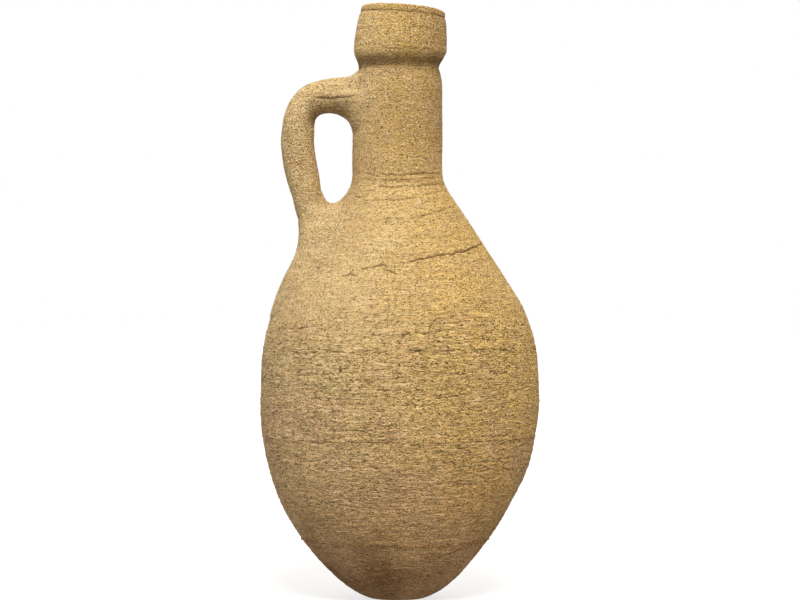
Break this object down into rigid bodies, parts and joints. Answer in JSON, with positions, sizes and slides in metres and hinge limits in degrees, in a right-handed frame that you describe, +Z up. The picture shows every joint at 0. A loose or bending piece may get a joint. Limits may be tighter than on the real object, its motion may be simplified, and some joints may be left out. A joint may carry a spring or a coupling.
{
  "type": "amphora",
  "caption": "Round-bellied earthenware amphora with a narrow neck, a thick leaning collar rim and a strap handle from neck to shoulder.",
  "frame": {"origin": "centre of the flat foot, on the surface the vessel stands on", "axes": "+Z up along the vessel's axis, handle on the -X side in the XZ plane, +Y to the back"},
  "size_m": [0.236, 0.236, 0.4989],
  "materials": {
    "vessel_clay": "matt unglazed",
    "rim_clay": "matt unglazed",
    "handle_clay": "matt unglazed"
  },
  "bodies": {
    "root": {"base_cup": "vessel_clay", "lower_wall": "vessel_clay", "belly_band": "vessel_clay", "lower_shoulder": "vessel_clay", "upper_shoulder": "vessel_clay", "neck_tube": "vessel_clay", "rim_collar": "rim_clay", "rim_lip": "rim_clay", "handle_strap": "handle_clay", "handle_top_wad": "handle_clay", "handle_root_wad": "handle_clay"}
  },
  "joints": []
}
